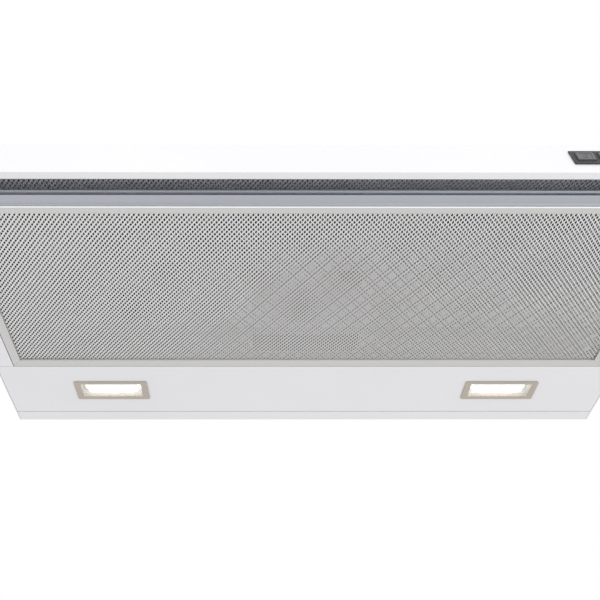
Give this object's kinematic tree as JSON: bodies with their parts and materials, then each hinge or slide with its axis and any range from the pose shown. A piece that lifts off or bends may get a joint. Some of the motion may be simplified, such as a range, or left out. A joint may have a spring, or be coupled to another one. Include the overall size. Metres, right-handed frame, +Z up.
{
  "type": "under cabinet range hood",
  "caption": "Slide-out range hood for a cabinet: shallow tray with a drop-down grease filter, pull-out visor, rear lamps, fan box with blower, push buttons and round duct collar with dampers.",
  "frame": {"origin": "on the back face, in the middle of its width, level with the lower edge of the cabinet", "axes": "+X to the right across the front, +Y towards the wall, +Z up"},
  "size_m": [0.598, 0.3072, 0.2557],
  "materials": {
    "white_paint": "satin stoved paint, silver-white",
    "zinc_steel": "galvanised sheet, fine spangle",
    "profile_aluminium": "satin anodised, drawn along its length",
    "filter_aluminium": "mill finish, lightly rolled",
    "mesh_aluminium": "expanded mesh, mill finish",
    "visor_mesh_aluminium": "expanded mesh in a deeper shade",
    "bezel_champagne": "satin champagne",
    "lens_clear": "clear, faintly ribbed",
    "led_white": "white board with small light sources",
    "dark_plastic": "moulded, fine grain",
    "light_plastic": "moulded, fine grain",
    "button_plastic": "satin silver",
    "board_green": "printed circuit board",
    "motor_metal": "die cast",
    "bright_steel": "turned and plated steel",
    "can_plastic": "smooth"
  },
  "bodies": {
    "hood_body": {"back_panel": "white_paint", "box_front": "zinc_steel", "box_left": "zinc_steel", "box_right": "zinc_steel", "box_top": "zinc_steel", "bracket_screw_left": "bright_steel", "bracket_screw_right": "bright_steel", "cable_gland": "dark_plastic", "capacitor": "can_plastic", "capacitor_clip": "zinc_steel", "collar_screw_1": "bright_steel", "collar_screw_2": "bright_steel", "damper_pin": "bright_steel", "duct_collar": "dark_plastic", "front_cross_profile": "profile_aluminium", "lamp_bezel_left": "bezel_champagne", "lamp_bezel_right": "bezel_champagne", "lamp_housing_left": "light_plastic", "lamp_housing_right": "light_plastic", "lamp_lens_left": "lens_clear", "lamp_lens_right": "lens_clear", "led_board_left": "led_white", "led_board_right": "led_white", "led_driver": "can_plastic", "light_panel": "white_paint", "motor_body": "motor_metal", "motor_bracket": "zinc_steel", "scroll_side_left": "dark_plastic", "scroll_side_right": "dark_plastic", "scroll_wrap": "dark_plastic", "side_bracket_left": "zinc_steel", "side_bracket_right": "zinc_steel", "terminal_box": "light_plastic", "terminal_lid": "light_plastic", "tray_side_left": "white_paint", "tray_side_right": "white_paint", "tray_top_plate": "zinc_steel", "visor_rail_left": "zinc_steel", "visor_rail_right": "zinc_steel"},
    "visor": {"visor_frame": "profile_aluminium", "visor_mesh": "visor_mesh_aluminium", "visor_fascia": "white_paint", "visor_runner_left": "zinc_steel", "visor_runner_right": "zinc_steel", "button_bezel": "dark_plastic", "switch_board": "board_green"},
    "grease_filter": {"filter_frame": "filter_aluminium", "filter_face_mesh": "mesh_aluminium", "filter_core_mesh": "mesh_aluminium"},
    "latch_left": {"filter_latch_left": "dark_plastic"},
    "latch_right": {"filter_latch_right": "dark_plastic"},
    "rotor": {"impeller": "dark_plastic", "motor_shaft": "bright_steel"},
    "flap_front": {"damper_flap_front": "light_plastic"},
    "flap_rear": {"damper_flap_rear": "light_plastic"},
    "push_button_1": {"button_1": "button_plastic"},
    "push_button_2": {"button_2": "button_plastic"},
    "push_button_3": {"button_3": "button_plastic"},
    "push_button_4": {"button_4": "button_plastic"},
    "push_button_5": {"button_5": "button_plastic"}
  },
  "joints": [
    {"name": "visor_slide", "type": "slide", "parent": "hood_body", "child": "visor", "axis": [0, -1, 0], "range_m": [0, 0.1696]},
    {"name": "filter_drop", "type": "hinge", "parent": "hood_body", "child": "grease_filter", "pos_m": [0, -0.0876, -0.0395], "axis": [1, 0, 0], "range_deg": [0, 80]},
    {"name": "latch_left_slide", "type": "slide", "parent": "grease_filter", "child": "latch_left", "axis": [1, 0, 0], "range_m": [0, 0.006], "stiffness_N_per_m": 250},
    {"name": "latch_right_slide", "type": "slide", "parent": "grease_filter", "child": "latch_right", "axis": [-1, 0, 0], "range_m": [0, 0.006], "stiffness_N_per_m": 250},
    {"name": "impeller_spin", "type": "hinge", "parent": "hood_body", "child": "rotor", "pos_m": [0, -0.0946, 0.08324], "axis": [1, 0, 0], "continuous": true},
    {"name": "flap_front_swing", "type": "hinge", "parent": "hood_body", "child": "flap_front", "pos_m": [0, -0.07, 0.18604], "axis": [-1, 0, 0], "range_deg": [0, 75]},
    {"name": "flap_rear_swing", "type": "hinge", "parent": "hood_body", "child": "flap_rear", "pos_m": [0, -0.07, 0.18604], "axis": [1, 0, 0], "range_deg": [0, 75]},
    {"name": "button_1_press", "type": "slide", "parent": "visor", "child": "push_button_1", "axis": [0, 1, 0], "range_m": [0, 0.0015], "stiffness_N_per_m": 400},
    {"name": "button_2_press", "type": "slide", "parent": "visor", "child": "push_button_2", "axis": [0, 1, 0], "range_m": [0, 0.0015], "stiffness_N_per_m": 400},
    {"name": "button_3_press", "type": "slide", "parent": "visor", "child": "push_button_3", "axis": [0, 1, 0], "range_m": [0, 0.0015], "stiffness_N_per_m": 400},
    {"name": "button_4_press", "type": "slide", "parent": "visor", "child": "push_button_4", "axis": [0, 1, 0], "range_m": [0, 0.0015], "stiffness_N_per_m": 400},
    {"name": "button_5_press", "type": "slide", "parent": "visor", "child": "push_button_5", "axis": [0, 1, 0], "range_m": [0, 0.0015], "stiffness_N_per_m": 400}
  ]
}
